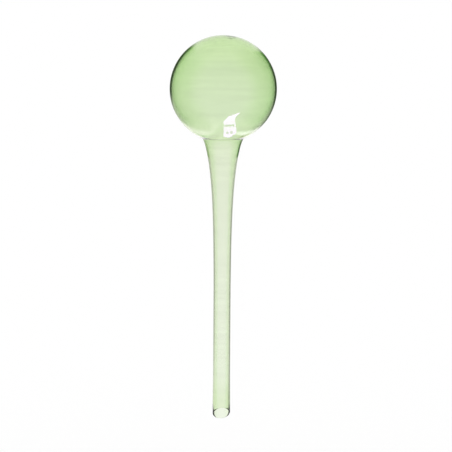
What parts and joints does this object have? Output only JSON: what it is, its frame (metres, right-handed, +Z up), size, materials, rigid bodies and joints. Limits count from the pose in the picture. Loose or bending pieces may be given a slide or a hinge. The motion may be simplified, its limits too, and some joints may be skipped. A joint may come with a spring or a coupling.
{
  "type": "watering globe",
  "caption": "Hollow blown glass ball on a long drawn glass stem with a slanted open mouth, filled with water and pushed stem-down into a plant pot's soil.",
  "frame": {"origin": "on the stem's axis at the soil line, just below where the drawn neck becomes a parallel tube", "axes": "+Z up along the stem's axis to the ball, -Z down to the mouth, -Y towards the side that the slanted mouth faces"},
  "size_m": [0.075, 0.075, 0.2742],
  "materials": {
    "glass": "clear pale green, flame-polished"
  },
  "bodies": {
    "root": {"bulb": "glass", "stem": "glass"}
  },
  "joints": []
}
